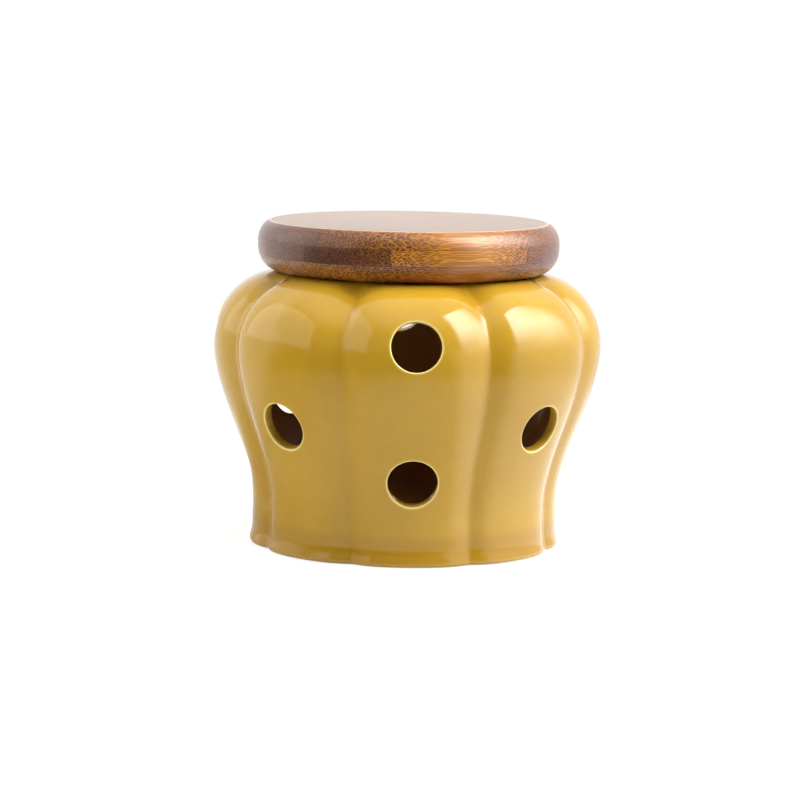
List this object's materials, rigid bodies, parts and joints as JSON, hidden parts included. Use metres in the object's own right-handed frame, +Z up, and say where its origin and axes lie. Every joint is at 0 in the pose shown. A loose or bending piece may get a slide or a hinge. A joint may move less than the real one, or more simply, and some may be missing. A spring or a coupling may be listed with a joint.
{
  "type": "garlic keeper",
  "caption": "Lobed, vented ceramic keeper jar with a round laminated bamboo lid that lifts off and turns.",
  "frame": {"origin": "centre of the foot ring, on the surface the jar stands on", "axes": "+Z up along the jar's axis, -Y towards a lobe with two vents, which faces the viewer"},
  "size_m": [0.1222, 0.1222, 0.102],
  "materials": {
    "glaze": "glossy mustard yellow glaze on a fired clay body",
    "silicone": "satin, milky white silicone",
    "bamboo_light": "satin oiled bamboo",
    "bamboo_dark": "satin oiled bamboo"
  },
  "bodies": {
    "jar": {"jar": "glaze"},
    "seal": {"seal_ring": "silicone"},
    "lid": {"top_strip_1": "bamboo_light", "top_strip_2": "bamboo_dark", "top_strip_3": "bamboo_light", "top_strip_4": "bamboo_dark", "top_strip_5": "bamboo_light", "core_strip_1": "bamboo_light", "core_strip_2": "bamboo_dark", "core_strip_3": "bamboo_light", "core_strip_4": "bamboo_dark", "core_strip_5": "bamboo_light", "core_strip_6": "bamboo_dark", "base_strip_1": "bamboo_light", "base_strip_2": "bamboo_dark", "base_strip_3": "bamboo_light", "base_strip_4": "bamboo_dark", "base_strip_5": "bamboo_light", "plug_strip_1": "bamboo_light", "plug_strip_2": "bamboo_dark", "plug_strip_3": "bamboo_light", "plug_strip_4": "bamboo_dark"}
  },
  "joints": [
    {"name": "lid_lift", "type": "slide", "parent": "jar", "child": "seal", "axis": [0, 0, 1], "range_m": [0, 0.12]},
    {"name": "lid_turn", "type": "hinge", "parent": "seal", "child": "lid", "pos_m": [0, 0, 0.086], "axis": [0, 0, 1], "continuous": true}
  ]
}
